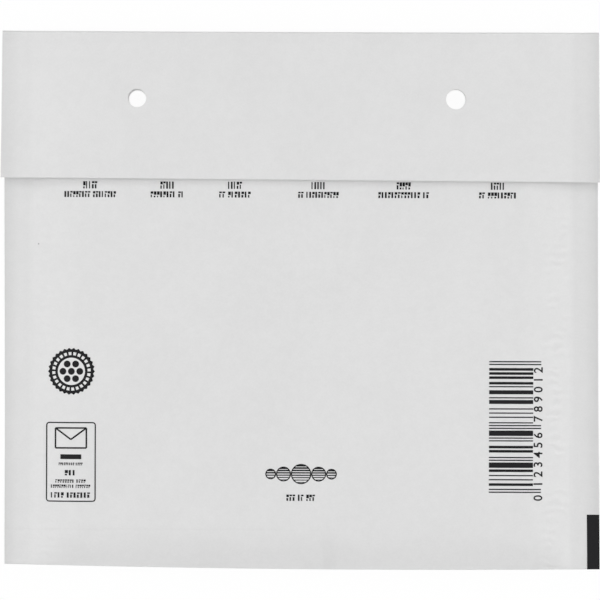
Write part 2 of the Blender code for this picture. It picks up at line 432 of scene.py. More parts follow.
        # random paper tone times the painted light and shade at the creases, seams and flap
        tone = s.product(clouds, formation, grain, painted_crease_light_and_shade, self.painted_seam_shade(s), self.painted_flap_light(s))
        paper = s.shade(self.colour, tone)
        mixed = s.add("ShaderNodeMix", {0: self.flecks(s), 6: paper, 7: (*self.fleck_colour, 1.0)},
                      data_type="RGBA")
        folds = s.sums("MULTIPLY", pucker, self.pucker_height)
        folds = s.sums("MULTIPLY_ADD", fold_line, -self.fold_line_depth, folds)
        s.relief(s.sums("MULTIPLY_ADD", fibre, self.fibre_height, folds))
        rough = s.remap(clouds, 1 - self.cloud_spread, 1 + self.cloud_spread,
                        self.roughness - self.roughness_spread, self.roughness + self.roughness_spread)
        s.surface(Base_Color=mixed.outputs[2], Specular_IOR_Level=self.gloss, Roughness=rough)
        return s.material


@dataclass(frozen=True)
class InkFinish:
    """Printing ink with a slightly uneven coat."""

    colour: Colour = (0.009, 0.009, 0.010)
    scale: float = 2200.0
    height: float = 0.000004
    tone_range: Span = (0.35, 0.7)
    tones: Span = (0.85, 1.35)
    roughness: Span = (0.60, 0.75)
    gloss: float = 0.15

    def material(self, name: str) -> Material:
        """Build the ink's material."""
        s = Shading(name)
        coat = s.noise(self.scale, 3.0)
        s.relief(s.sums("MULTIPLY", coat, self.height))
        s.surface(Base_Color=s.shade(self.colour, s.remap(coat, *self.tone_range, *self.tones)),
                  Roughness=s.remap(coat, *NOISE_RANGE, *self.roughness), Specular_IOR_Level=self.gloss)
        return s.material


@dataclass(frozen=True)
class FilmFinish:
    """Clear polyethylene bubble film, slightly milky."""

    colour: Colour = (0.86, 0.88, 0.89)
    scale: float = 320.0
    height: float = 0.00003
    tones: Span = (0.94, 1.04)
    alpha: float = 0.55
    roughness: Span = (0.16, 0.28)
    refraction: float = 1.51

    def material(self, name: str) -> Material:
        """Build the film's material."""
        s = Shading(name)
        haze = s.noise(self.scale, 3.0)
        s.relief(s.sums("MULTIPLY", haze, self.height))
        s.surface(Base_Color=s.shade(self.colour, s.remap(haze, *NOISE_RANGE, *self.tones)),
                  Roughness=s.remap(haze, *NOISE_RANGE, *self.roughness), Alpha=self.alpha,
                  IOR=self.refraction)
        return s.material


@dataclass(frozen=True)
class GlueFinish:
    """Tacky hot-melt glue, a little yellow and streaked along the coating's direction."""

    colour: Colour = (0.74, 0.70, 0.56)
    roughness: float = 0.28
    scale: float = 900.0
    squeeze: float = 0.08  # of X, which draws the streaks out along it
    height: float = 0.00004
    tones: Span = (0.90, 1.08)
    coat: float = 0.3

    def material(self, name: str) -> Material:
        """Build the glue's material."""
        s = Shading(name)
        along = s.add("ShaderNodeMapping", {"Vector": s.place, "Scale": (self.squeeze, 1.0, 1.0)})
        noise = s.add("ShaderNodeTexNoise", {"Vector": along.outputs[0], "Scale": self.scale, "Detail": 2.0})
        streaks = noise.outputs["Fac"]
        s.relief(s.sums("MULTIPLY", streaks, self.height))
        s.surface(Base_Color=s.shade(self.colour, s.remap(streaks, *NOISE_RANGE, *self.tones)),
                  Roughness=self.roughness, Coat_Weight=self.coat)
        return s.material


@dataclass(frozen=True)
class CoverFinish:
    """Silicone-coated release paper: smooth, glossy and faintly blue."""

    colour: Colour = (0.76, 0.79, 0.82)
    scale: float = 700.0
    height: float = 0.000008
    tones: Span = (0.97, 1.02)
    roughness: Span = (0.24, 0.32)
    coat: float = 0.4

    def material(self, name: str) -> Material:
        """Build the cover strip's material."""
        s = Shading(name)
        mottle = s.noise(self.scale, 3.0)
        s.relief(s.sums("MULTIPLY", mottle, self.height))
        s.surface(Base_Color=s.shade(self.colour, s.remap(mottle, *NOISE_RANGE, *self.tones)),
                  Roughness=s.remap(mottle, *NOISE_RANGE, *self.roughness), Coat_Weight=self.coat)
        return s.material


@dataclass(frozen=True)
class Waves:
    """Soft undulation: a sum of plane waves with seeded lengths, directions and phases."""

    seed: int
    height: float
    shortest: float = 0.014
    longest: float = 0.070
    count: int = 14

    def at(self, x: Array, y: Array) -> Array:
        """Height of the waves over each place, the long waves being the high ones."""
        draw = np.random.default_rng(self.seed)
        lengths = np.exp(draw.uniform(math.log(self.shortest), math.log(self.longest), self.count))
        angles, phases = draw.uniform(0, TURN, (2, self.count))
        x, y = np.broadcast_arrays(x, y)
        along = x[..., None] * np.cos(angles) + y[..., None] * np.sin(angles)
        waves = np.sin(TURN * along / lengths + phases) * lengths / self.longest
        return self.height * waves.sum(axis=-1) / math.sqrt(self.count)


@dataclass(frozen=True)
class Dent:
    """A short dent in the rear panel, over the bottom fold."""

    x: float
    width: float
    depth: float


@dataclass(frozen=True)
class PaperForm:
    """Where the faces of the folded paper lie.

    The outer sizes come from the solids, and the others are the mailer's own sizes. Places are
    first taken on a square-cut envelope, and settle() then gives them the real outline.
    """

    half_width: float
    top_y: float
    bottom_y: float
    flap_top: float
    mid_z: float
    wall: float = 0.00025
    seam_width: float = 0.0092
    seam_half: float = 0.00028
    seam_curl: float = 0.0006
    side_rise: float = 0.016
    side_power: float = 1.3
    bottom_rise: float = 0.0135
    mouth_setback: float = 0.008
    fold_radius: float = 0.0009
    crease_dip: float = 0.0002
    crease_run: float = 0.0035
    flap_depth: float = 0.0497
    flap_sag: float = 0.0031
    flap_sag_start: float = 0.072
    flap_sag_end: float = 0.0965
    flap_skew: float = 0.0053
    flap_flare: float = 0.0006
    crease_flare: float = 0.25  # share of the flare at the crease
    lift_start: float = 0.027
    edge_lift: float = 0.00035
    corner_lift: float = 0.0010
    shoulder_height: float = 0.00012
    shoulder_width: float = 0.0035
    ridge_width: float = 0.010
    lean: float = 0.006
    waist: float = 0.0003
    waist_run: float = 0.060
    swell: float = 0.00080
    swell_start: float = 0.0283
    swell_run: float = 0.004
    calm: float = 0.6  # share of the waves that the flap presses out
    calm_run: float = 0.006
    bow_curve: float = 0.09
    bow_middle: float = 0.032
    bow_depth: float = 0.00055
    top_bow: float = 0.00028
    top_bow_level: float = 0.35
    top_bow_run: float = 0.020
    flap_wave_run: float = 0.012
    dents: tuple[Dent, ...] = (Dent(-0.0077, 0.0017, 0.00028), Dent(0.0093, 0.0023, 0.00045))
    dent_fade: float = 0.009
    dent_rise: float = 0.004
    rear_waves: Waves = Waves(seed=5, height=0.00016)
    side_waves: Waves = Waves(seed=11, height=0.00014, shortest=0.005, longest=0.016)
    address_waves: Waves = Waves(seed=8, height=0.00008)
    flap_waves: Waves = Waves(seed=21, height=0.00012, shortest=0.03, longest=0.12)

    @classmethod
    def from_frame(cls) -> "PaperForm":
        """Take the outer sizes from the solids' boxes."""
        low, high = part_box(Node.PAPER.value)
        film_low, film_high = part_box(Node.LINER.value)
        return cls(half_width=high.x - cls.flap_flare, top_y=high.y, bottom_y=low.y, flap_top=high.z,
                   mid_z=(film_low.z + film_high.z) / 2)

    @property
    def seam_inner(self) -> float:
        """X of a side seam's inner edge."""
        return self.half_width - self.seam_width

    @property
    def pad_x(self) -> float:
        """X where the paper has climbed onto the padding."""
        return self.seam_inner - self.side_rise

    @property
    def pad_y(self) -> float:
        """Y where the paper has climbed onto the padding from the bottom fold."""
        return self.bottom_y + self.bottom_rise

    @property
    def fold_y(self) -> float:
        """Y of the bottom fold's axis."""
        return self.bottom_y + self.seam_half

    @property
    def mouth_y(self) -> float:
        """Y of the rear panel's upper edge."""
        return self.top_y - self.mouth_setback

    def share(self, x: Array, y: Array) -> Array:
        """The padding's share of its full height: both rises, s and b, meet as s b / (s + b - s b)."""
        side = round_rise((self.seam_inner - np.abs(x)) / self.side_rise, self.side_power)
        end = round_rise((y - self.fold_y) / (self.pad_y - self.fold_y), 1.0)
        return side * end / np.maximum(side + end - side * end, 1e-6)

    def half_depth(self, share: Array) -> Array:
        """Half the thickness over both papers, from the seams' to the full padding's."""
        return self.seam_half + (self.mid_z - self.seam_half) * share

    def puff(self, x: Array, y: Array) -> Array:
        """What the rear panel's skin adds over the even padding.

        Waves, a shoulder at each side, and a swelling towards the flap above the closing strip.
        """
        under_flap = ease((y - self.top_y + self.flap_depth) / self.calm_run)
        swelling = self.swell * ease((y - self.top_y + self.swell_start) / self.swell_run)
        beside = bell(np.abs(x) - self.pad_x, self.ridge_width)
        waves = self.rear_waves.at(x, y) + beside * self.side_waves.at(x, y)
        shoulder = self.shoulder_height * bell(np.abs(x) - self.pad_x, self.shoulder_width)
        return (waves * (1 - self.calm * under_flap) + shoulder + swelling) * self.share(x, y)

    def creases(self, x: Array, y: Array) -> Array:
        """The short dents that run up from the bottom fold, each a bell across that fades upwards."""
        fade = ease((self.pad_y - y) / self.dent_fade) * ease((y - self.fold_y) / self.dent_rise)
        return -fade * sum(dent.depth * bell(x - dent.x, dent.width) for dent in self.dents)

    def curl(self, x: Array) -> Array:
        """How far the glued seam bends up towards its edge, as the square of the way out."""
        return self.seam_curl * np.clip((np.abs(x) - self.seam_inner) / self.seam_width, 0, None) ** 2

    def rear_height(self, x: Array, y: Array) -> Array:
        """Height of the rear panel's outer face."""
        half = self.half_depth(self.share(x, y))
        return self.mid_z + half + self.puff(x, y) + self.creases(x, y) + self.curl(x)

    def address_height(self, x: Array, y: Array) -> Array:
        """Height of the address panel's outer face, which lies flat under the padding."""
        share = self.share(x, y)
        dents = np.clip(self.address_waves.at(x, y), 0, None) * share
        return self.mid_z - self.half_depth(share) + dents + self.curl(x)

    def flap_level(self, x: Array) -> Array:
        """The flap's even height: level over the padding, falling in an S at both sides."""
        over = (np.abs(x) - self.flap_sag_start) / (self.flap_sag_end - self.flap_sag_start)
        return self.flap_top - self.flap_sag * ease(over)

    def spring(self, x: Array, y: Array) -> Array:
        """How far the flap stands up towards its free edge, more at the corners, as X to the fourth."""
        down = ease((self.top_y - self.lift_start - y) / (self.flap_depth - self.lift_start))
        return down * (self.edge_lift + self.corner_lift * (x / self.half_width) ** 4)

    def flap_height(self, x: Array, y: Array) -> Array:
        """Height of the flap's outer face, with a dip at the crease, soft waves and a raised edge."""
        run = ease((self.top_y - self.fold_radius - y) / self.crease_run)
        away = ease((self.top_y - self.crease_run - y) / self.flap_wave_run)
        level = self.flap_level(x) - self.crease_dip * (1 - run) + self.flap_waves.at(x, y) * away
        return level + self.spring(x, y)

    def waisted(self, y: Array) -> Array:
        """The body's width as a share of its full width, drawn in above the bottom fold."""
        return 1 - self.waist / self.half_width * ease((y - self.bottom_y) / self.waist_run)

    def settle(self, x: Array, y: Array, z: Array, on_flap: bool = False) -> Array:
        """Give square-cut places the real outline.

        X moves by minus lean times Y, and in by the waist on the body. On the flap it moves out
        by the flare, and to the left as the flap is turned a little about its crease. Near the
        bottom fold Y follows a wide parabola, lowest right of the middle, and near the crease its
        two ends rise as the fourth power of X.

        Args:
            x: square-cut places across the width.
            y: square-cut places along the height.
            z: heights.
            on_flap: the places are on the flap.

        Returns:
            One array of points.
        """
        x, y, z = np.broadcast_arrays(x, y, z)
        wide, turned = self.waisted(y), 0.0
        if on_flap:
            flare = self.crease_flare + (1 - self.crease_flare) * (self.top_y - y) / self.flap_depth
            wide = 1 + self.flap_flare / self.half_width * flare
            turned = self.flap_skew * (self.top_y - y)
        reach = x / self.half_width
        low_bow = self.bow_curve * (x - self.bow_middle) ** 2 - self.bow_depth
        near_fold = np.clip((self.pad_y - y) / self.bottom_rise, 0, 1)
        top_bow = self.top_bow * (reach**4 - self.top_bow_level)
        near_crease = ease((y - self.top_y + self.top_bow_run) / self.top_bow_run)
        moved_y = y + low_bow * near_fold + top_bow * near_crease
        return np.stack([x * wide - self.lean * y - turned, moved_y, z], axis=-1)

    def square_cut(self, x: Array, y: Array) -> tuple[Array, Array]:
        """The square-cut place on the rear panel that settles at x, y, or very near it."""
        return (x + self.lean * y) / self.waisted(y), y

    def rear(self, x: Array, y: Array) -> Array:
        """Points of the rear panel's outer face."""
        return self.settle(x, y, self.rear_height(x, y))

    def bottom_fold(self, x: Array, angle: Array) -> Array:
        """Points round the bottom fold, a half circle from the rear face (0) to the address face."""
        y = self.fold_y - self.seam_half * np.sin(angle)
        z = self.mid_z + self.seam_half * np.cos(angle)
        return self.settle(x, y, z + self.creases(x, y) + self.curl(x))

    def address(self, x: Array, y: Array) -> Array:
        """Points of the address panel's outer face."""
        return self.settle(x, y, self.address_height(x, y))

    def top_fold(self, x: Array, angle: Array) -> Array:
        """Points of the climb up to the flap's crease, a quarter of an ellipse."""
        base = self.address_height(x, np.full_like(x, self.mouth_y))
        y = self.mouth_y + self.mouth_setback * np.sin(angle)
        z = base + (self.crease_height(x) - base) * (1 - np.cos(angle))
        return self.settle(x, y, z)

    def crease_height(self, x: Array) -> Array:
        """Height of the crease's axis."""
        return self.flap_level(x) - self.crease_dip - self.fold_radius

    def crease(self, x: Array, angle: Array) -> Array:
        """Points round the flap's crease, a quarter circle."""
        y = self.top_y - self.fold_radius + self.fold_radius * np.cos(angle)
        z = self.crease_height(x) + self.fold_radius * np.sin(angle)
        return self.settle(x, y, z, on_flap=True)

    def flap(self, x: Array, share: Array) -> Array:
        """Points of the flap's outer face, from the crease (0) to its free edge (1)."""
        start = self.top_y - self.fold_radius
        end = self.top_y - self.flap_depth - self.flap_skew * x
        y = start + (end - start) * share
        return self.settle(x, y, self.flap_height(x, y), on_flap=True)


def cut_with(piece: bpy.types.Object, cutter: bmesh.types.BMesh) -> None:
    """Subtract the cutter's shapes from a piece, and leave no modifier or cutter behind."""
    mesh = bpy.data.meshes.new("cutter")
    cutter.to_mesh(mesh)
    cutter.free()
    tool = bpy.data.objects.new("cutter", mesh)
    bpy.context.scene.collection.objects.link(tool)
    step = piece.modifiers.new("cut", "BOOLEAN")
    step.operation = "DIFFERENCE"
    step.solver = "EXACT"
    step.object = tool
    bpy.context.view_layer.update()
    seen = piece.evaluated_get(bpy.context.evaluated_depsgraph_get())
    old, piece.data = piece.data, bpy.data.meshes.new_from_object(seen)
    piece.modifiers.clear()
    piece.data.name = piece.name
    piece.data.set_sharp_from_angle(angle=math.radians(SHARP_FOLD))
    bpy.data.objects.remove(tool)
    bpy.data.meshes.remove(mesh)
    bpy.data.meshes.remove(old)


@dataclass
class Punch:
    """The round holes through the closed envelope, whose layers slid a little after the punching.

    The hole through the body leans away from the envelope's middle: it drifts by splay times its
    distance from the middle for each metre of depth.
    """

    form: PaperForm
    openings: Sequence[dict[str, Any]]
    body_diameters: Place = (0.0059, 0.0066)
    flap_diameters: Place = (0.0061, 0.0067)
    drop: float = 0.0226
    body_shifts: tuple[Place, Place] = ((0.00020, -0.00025), (0.0, -0.00006))
    flap_shifts: tuple[Place, Place] = ((-0.00004, 0.00015), (0.00014, 0.00006))
    splay: float = 0.53
    sides: int = 96
    below: float = 0.001
    above: float = 0.003
    under_flap: float = 0.0001
    parting: float = 0.00002

    def places(self) -> list[tuple[Place, Place]]:
        """Where each hole goes through the rear panel and through the flap."""
        places = []
        for opening, body_shift, flap_shift in zip(self.openings, self.body_shifts, self.flap_shifts):
            low, high = opening["box_m"]
            x, y = (low[0] + high[0]) / 2, self.form.top_y - self.drop
            middle = (x - self.form.lean * y, y)
            places.append(tuple((middle[0] + dx, middle[1] + dy) for dx, dy in (body_shift, flap_shift)))
        return places

    def cut(self, piece: bpy.types.Object, through_flap: bool) -> None:
        """Cut the holes with an exact Boolean, through the body's layers and perhaps the flap."""
        between = self.form.flap_top - self.form.wall - self.under_flap
        bm = bmesh.new()
        for (body, flap), wide, flap_wide in zip(self.places(), self.body_diameters, self.flap_diameters):
            runs = [(body, wide, self.splay, -self.below, between - self.parting),
                    (flap, flap_wide, 0.0, between + self.parting, self.form.flap_top + self.above)]
            for (x, y), diameter, splay, low, high in runs if through_flap else runs[:1]:
                sheared = Matrix(((1, 0, -splay * x, 0), (0, 1, -splay * y, 0), (0, 0, 1, 0), (0, 0, 0, 1)))
                centred = Matrix.Translation((0, 0, (low - high) / 2))
                hung = Matrix.Translation((x, y, high)) @ sheared @ centred
                bmesh.ops.create_cone(bm, cap_ends=True, segments=self.sides, radius1=diameter / 2,
                                      radius2=diameter / 2, depth=high - low, matrix=hung)
        cut_with(piece, bm)


@dataclass
class OuterEnvelope:
    """The folded sheet of paper with its glued sides and punched holes."""

    form: PaperForm
    finish: PaperFinish = PaperFinish()
    fine_step: float = 0.0005
    wide_step: float = 0.0028
    bend_margin: float = 0.006
    rear_step: float = 0.0014
    rise_step: float = 0.0008
    address_step: float = 0.0035
    flap_step: float = 0.0012
    fold_parts: int = 8
    climb_parts: int = 14
    crease_parts: float = 0.012  # longest part beside the crease, as a share of the flap

    def stations(self) -> Array:
        """Places across the width, close together where the paper bends."""
        form, flat_x = self.form, self.form.pad_x - self.bend_margin
        marks = (-form.half_width, -flat_x, flat_x, form.half_width)
        return divide(marks, (self.fine_step, self.wide_step, self.fine_step))

    def outer_face(self) -> Array:
        """The sheet's outer face, from the rear panel's mouth round to the flap's free edge."""
        form = self.form
        x = self.stations()[:, None]
        rear_y = divide((form.mouth_y, form.pad_y, form.fold_y), (self.rear_step, self.rise_step))[None]
        address_y = divide((form.fold_y, form.pad_y, form.mouth_y), (self.rise_step, self.address_step))[None]
        half_turn = np.linspace(0, math.pi, self.fold_parts + 1)[None, 1:]
        climb = np.linspace(0, math.pi / 2, self.climb_parts + 1)[None, 1:]
        quarter = np.linspace(0, math.pi / 2, self.fold_parts + 1)[None, 1:]
        crease_share = form.crease_run / form.flap_depth
        flap_steps = (self.crease_parts, self.flap_step / form.flap_depth)
        flap_share = divide((0, crease_share, 1), flap_steps)[None, 1:]
        return np.concatenate([
            form.rear(x, rear_y),
            form.bottom_fold(x, half_turn),
            form.address(x, address_y[:, 1:]),
            form.top_fold(x, climb),
            form.crease(x, quarter),
            form.flap(x, flap_share),
        ], axis=1)

    def build(self, punch: Punch) -> None:
        """Build the paper and punch its holes."""
        outer = self.outer_face()
        inner = outer - grid_normals(outer) * self.form.wall
        shell = thick_sheet(outer, inner)
        piece = make_piece("folded_paper", [shell], self.finish.material("white_paper"))
        punch.cut(piece, through_flap=True)
        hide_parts(Node.PAPER.value)


@dataclass
class BubbleLiner:
    """The pouch of bubble film inside the paper: two films with domes that face outwards."""

    form: PaperForm
    finish: FilmFinish = FilmFinish()
    film: float = 0.0003
    film_step: float = 0.004
    slot_half: float = 0.0002
    fold_parts: int = 8
    seal: float = 0.004
    seal_inset: float = 0.0001
    seal_drop: float = 0.0005
    seal_fill: float = 1.2  # how far the seal reaches into the films, as a share of the slot
    dome_radius: float = 0.0050
    dome_pitch: float = 0.0125
    dome_sides: int = 12
    dome_rings: int = 4
    dome_tip: float = 0.02  # least share of 1 - h to the third, so that the top ring stays open
    shoulder: float = 0.68  # of the radius, where the room over a dome is read
    shoulder_parts: int = 12
    least_dome: float = 0.0008
    gap: float = 0.0002

    def pouch(self) -> list[Shell]:
        """The flat films, sealed at both sides and folded at the bottom, open at the mouth."""
        low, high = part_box(Node.LINER.value)
        depth = self.slot_half + self.film
        x = divide((low.x, high.x), (self.film_step,))[:, None]
        bottom = low.y + depth
        rear_y = divide((high.y, bottom), (self.film_step,))[None]
        front_y = rear_y[:, ::-1]
        angle = np.linspace(0, math.pi, self.fold_parts + 1)[None, 1:-1]
        mid = self.form.mid_z
        outer = np.concatenate([
            self.form.settle(x, rear_y, np.full_like(x, mid + depth)),
            self.form.settle(x, bottom - depth * np.sin(angle), mid + depth * np.cos(angle)),
            self.form.settle(x, front_y, np.full_like(x, mid - depth)),
        ], axis=1)
        shells = [thick_sheet(outer, outer - grid_normals(outer) * self.film)]
        seal_y = np.array([high.y - self.seal_drop, bottom])[None]
        for edge, side in ((low.x, -1), (high.x, 1)):
            ends = sorted((edge - side * self.seal_inset, edge - side * self.seal))
            seal_x = np.array(ends)[:, None]
            reach = self.slot_half * self.seal_fill
            faces = [self.form.settle(seal_x, seal_y, np.full((2, 2), mid + way * reach)) for way in (1, -1)]
            shells.append(thick_sheet(*faces))
        return shells

    def dome_places(self, punch: Punch) -> Array:
        """Staggered rows of dome centres that fill the film and keep off the punched holes."""
        low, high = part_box(Node.LINER.value)
        row_step = self.dome_pitch * math.sqrt(3) / 2
        rows = int((high.y - low.y - 2 * self.dome_radius) / row_step)
        columns = int((high.x - self.dome_radius) / self.dome_pitch)
        row, column = np.meshgrid(np.arange(rows + 1), np.arange(-columns, columns + 1), indexing="ij")
        x = (column + (row % 2) / 2) * self.dome_pitch
        y = (low.y + high.y - rows * row_step) / 2 + row * row_step
        keep = np.abs(x) <= high.x - self.dome_radius
        for (hole_x, hole_y), _ in punch.places():
            reach = np.hypot(x - self.form.lean * y - hole_x, y - hole_y)
            keep &= reach > self.dome_radius + max(punch.body_diameters) / 2 + self.gap
        return np.stack([x[keep], y[keep]], axis=-1)

    def dome_heights(self, centres: Array) -> Array:
        """The room over each centre between the film and the paper, read round the dome's shoulder."""
        around = np.linspace(0, TURN, self.shoulder_parts, endpoint=False)
        x = centres[:, :1] + self.shoulder * self.dome_radius * np.cos(around)
        y = centres[:, 1:] + self.shoulder * self.dome_radius * np.sin(around)
        half = self.form.half_depth(self.form.share(x, y))
        room = half.min(axis=1) - self.form.wall - self.gap - self.slot_half - self.film
        return np.clip(room, 0, None)

    def dome(self, centre: Array, height: float, way: int) -> Shell:
        """One closed dome: rings whose radius falls as sqrt(1 - h to the third), flat at its base."""
        rise = np.linspace(0, 1, self.dome_rings + 1)
        radius = self.dome_radius * np.maximum(1 - rise**3, self.dome_tip) ** 0.5
        base = self.slot_half + self.film * 0.5
        z = self.form.mid_z + way * (base + (height + self.film * 0.5) * rise)
        angle = np.linspace(0, TURN, self.dome_sides, endpoint=False)
        ring_x = centre[0] + np.outer(np.cos(angle), radius)
        ring_y = centre[1] + np.outer(np.sin(angle), radius)
        points = self.form.settle(ring_x, ring_y, np.broadcast_to(z, ring_x.shape)).reshape(-1, 3)
        grid = np.arange(len(points)).reshape(self.dome_sides, self.dome_rings + 1)
        after = np.roll(grid, -1, axis=0)
        ends = self.form.settle(np.full(2, centre[0]), np.full(2, centre[1]), z[[0, -1]])
        middle = np.full(self.dome_sides, len(points))
        faces = np.concatenate([
            quads(grid[:, :-1], after[:, :-1], after[:, 1:], grid[:, 1:]),
            quads(grid[:, 0], middle, after[:, 0], after[:, 0]),
            quads(grid[:, -1], after[:, -1], middle + 1, middle + 1),
        ])
        return np.concatenate([points, ends]), faces if way > 0 else faces[:, ::-1]

    def build(self, punch: Punch) -> None:
        """Build the liner and punch its holes."""
        shells = self.pouch()
        centres = self.dome_places(punch)
        for centre, height in zip(centres, self.dome_heights(centres)):
            if height >= self.least_dome:
                shells += [self.dome(centre, float(height), way) for way in (1, -1)]
        piece = make_piece("bubble_film_pouch", shells, self.finish.material("bubble_film"))
        punch.cut(piece, through_flap=False)
        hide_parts(Node.LINER.value)


@dataclass
class ClosingStrip:
    """The glue band on the flap's inner face, and the cover strip that peels off it."""

    form: PaperForm
    glue: GlueFinish = GlueFinish()
    cover: CoverFinish = CoverFinish()
    thickness: float = 0.00015
    paper_gap: float = 0.00003
    layer_gap: float = 0.00002
    step: float = 0.0015
    step_down: float = 0.003

    def layer(self, node: Node, depth: float) -> Shell:
        """A sheet in the outline of a solid, its upper face that far under the flap's outer face."""
        low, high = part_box(node.value)
        skew = self.form.flap_skew
        x = divide((low.x, high.x), (self.step,))[:, None]
        y_low, y_high = low.y + skew * high.x, high.y + skew * low.x
        y = divide((y_high, y_low), (self.step_down,))[None] - skew * x
        top = self.form.settle(x, y, self.form.flap_height(x, y) - depth, on_flap=True)
        return thick_sheet(top, top - np.array([0, 0, self.thickness]))

    def build(self) -> None:
        """Build both strips."""
        depth = self.form.wall + self.paper_gap
        band = make_piece("glue_band", [self.layer(Node.GLUE, depth)],
                          self.glue.material("hot_melt_glue"))
        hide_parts(Node.GLUE.value)
        depth += self.thickness + self.layer_gap
        strip = make_piece("cover_strip", [self.layer(Node.COVER, depth)],
                           self.cover.material("release_paper"))
        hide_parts(Node.COVER.value)


class InkLayer:
    """Thin closed patches of ink that lie on the rear panel, gathered into one piece."""

    word_gap = 0.7  # between groups of small print, in strokes
    stroke_widths = (0.34, 0.60)  # of the way from one stroke to the next
    breaks = (0.0, 0.0, 0.28, 0.45, 0.60)  # how high a stroke is broken, 0 for a whole one
    break_gap = 0.14
    broken_width = 0.8

    def __init__(self, form: PaperForm, lift: float = 0.00002, thickness: float = 0.00003,
                 cell: float = 0.0012) -> None:
        """Start an empty layer.

        Args:
            form: the paper that it lies on.
            lift: how far its under side stands off the paper.
            thickness: the ink's thickness.
            cell: the longest side of a patch's cells, so that it follows the paper.
        """
        self.form = form
        self.lift = lift
        self.thickness = thickness
        self.cell = cell
        self.shells: list[Shell] = []

    def coat(self, points: Array, out: Array, wrap: bool = False) -> None:
        """Add a closed coat of ink over points of the paper, raised in the directions given."""
        self.shells.append(thick_sheet(points + out * (self.lift + self.thickness),
                                       points + out * self.lift, wrap))

    def patch(self, x: Array, y: Array, wrap: bool = False) -> None:
        """Lay a grid of flat places on the paper as one closed patch."""
        across, along = x[1, 0] - x[0, 0], x[0, 1] - x[0, 0]
        turn = along * (y[1, 0] - y[0, 0]) - (y[0, 1] - y[0, 0]) * across
        if turn < 0:
            x, y = x[:, ::-1], y[:, ::-1]
        self.coat(self.form.rear(*self.form.square_cut(x, y)), np.array([0.0, 0.0, 1.0]), wrap)

    def polar(self, centre: Place, angle: Array, reach: Array, wrap: bool) -> None:
        """A patch given by angles and distances from a centre."""
        self.patch(centre[0] + reach * np.cos(angle), centre[1] + reach * np.sin(angle), wrap=wrap)

    def bar(self, left: float, right: float, low: float, high: float) -> None:
        """A rectangle between two corners."""
        x, y = divide((left, right), (self.cell,)), divide((high, low), (self.cell,))
        self.patch(*np.meshgrid(x, y, indexing="ij"))

    def disc(self, centre: Place, radius: float, parts: int = 8) -> None:
        """A full disc: a square grid (u, v) pressed round as (u sqrt(1 - v v / 2), v sqrt(1 - u u / 2))."""
        u, v = np.meshgrid(*[np.linspace(-1, 1, parts + 1)] * 2, indexing="ij")
        x = centre[0] + radius * u * np.sqrt(1 - v * v / 2)
        y = centre[1] + radius * v * np.sqrt(1 - u * u / 2)
        self.patch(x, y)

    def ring(self, centre: Place, radius: float, width: float, start: float = 0.0,
             sweep: float = TURN) -> None:
        """A ring, or an arc of one where the sweep is under a full turn."""
        full = sweep >= TURN
        parts = max(3, math.ceil(sweep * radius / (self.cell * 0.5)))
        angle = np.linspace(start, start + sweep, parts + 1)[: -1 if full else None][:, None]
        self.polar(centre, angle, np.array([radius, radius - width])[None], full)

    def frame(self, centre: Place, size: Place, corner: float, line: float) -> None:
        """A rounded frame: quarter circles at the corners, joined by straight runs."""
        rows = []
        for inset in (0.0, line):
            half_x, half_y, radius = size[0] / 2 - inset, size[1] / 2 - inset, corner - inset
            points = []
            for quarter, (sx, sy) in enumerate(((1, 1), (-1, 1), (-1, -1), (1, -1))):
                angle = np.linspace(quarter, quarter + 1, 7) * math.pi / 2
                points.append(np.stack([sx * (half_x - radius) + radius * np.cos(angle),
                                        sy * (half_y - radius) + radius * np.sin(angle)], axis=-1))
            rows.append(np.concatenate(points))
        outline = np.stack(rows, axis=1)
        ends = np.roll(outline, -1, axis=0)
        share = np.linspace(0, 1, 13)[:-1][None, :, None, None]
        filled = (outline[:, None] * (1 - share) + ends[:, None] * share).reshape(-1, 2, 2)
        length = np.linalg.norm(np.roll(filled[:, 0], -1, axis=0) - filled[:, 0], axis=-1)
        filled = filled[length > 1e-6]
        self.patch(centre[0] + filled[..., 0], centre[1] + filled[..., 1], wrap=True)

    def toothed_ring(self, centre: Place, radius: float, width: float, teeth: int, depth: float) -> None:
        """A ring whose outer edge zigzags inwards by a depth."""
        angle = np.arange(2 * teeth)[:, None] * math.pi / teeth
        outer = radius - depth * (np.arange(2 * teeth)[:, None] % 2)
        reach = np.concatenate([outer, np.full_like(outer, radius - width)], axis=1)
        self.polar(centre, angle, reach, True)

    def striped_disc(self, centre: Place, radius: float, pitch: float, low: float, high: float) -> None:
        """A disc drawn as level stripes as long as its chords, whose share of the pitch grows upwards."""
        lines = max(3, round(2 * radius / pitch))
        step = 2 * radius / lines
        for line in range(lines):
            y = -radius + (line + 0.5) * step
            reach = math.sqrt(max(radius**2 - y**2, 0))
            half = step * (low + (high - low) * line / (lines - 1)) / 2
            self.bar(centre[0] - reach, centre[0] + reach, centre[1] + y - half, centre[1] + y + half)

    def small_print(self, left: float, width: float, level: Place, words: Sequence[int], seed: int) -> None:
        """A line of upright strokes, whole or broken in two, that looks like small print from afar.

        Args:
            left: where the line starts.
            width: its length.
            level: its lowest and highest Y.
            words: how many strokes stand together in each group.
            seed: what the strokes' widths and gaps are drawn from.
        """
        rng = np.random.default_rng(seed)
        advance = width / (sum(words) + (len(words) - 1) * self.word_gap)
        low, high = level
        start = left
        for word in words:
            for _ in range(word):
                right = start + advance * rng.uniform(*self.stroke_widths)
                break_low = low + (high - low) * rng.choice(self.breaks)
                if break_low > low:
                    self.bar(start, right, low, break_low)
                    self.bar(start, start + advance * self.broken_width,
                             break_low + (high - low) * self.break_gap, high)
                else:
                    self.bar(start, right, low, high)
                start += advance
            start += advance * self.word_gap

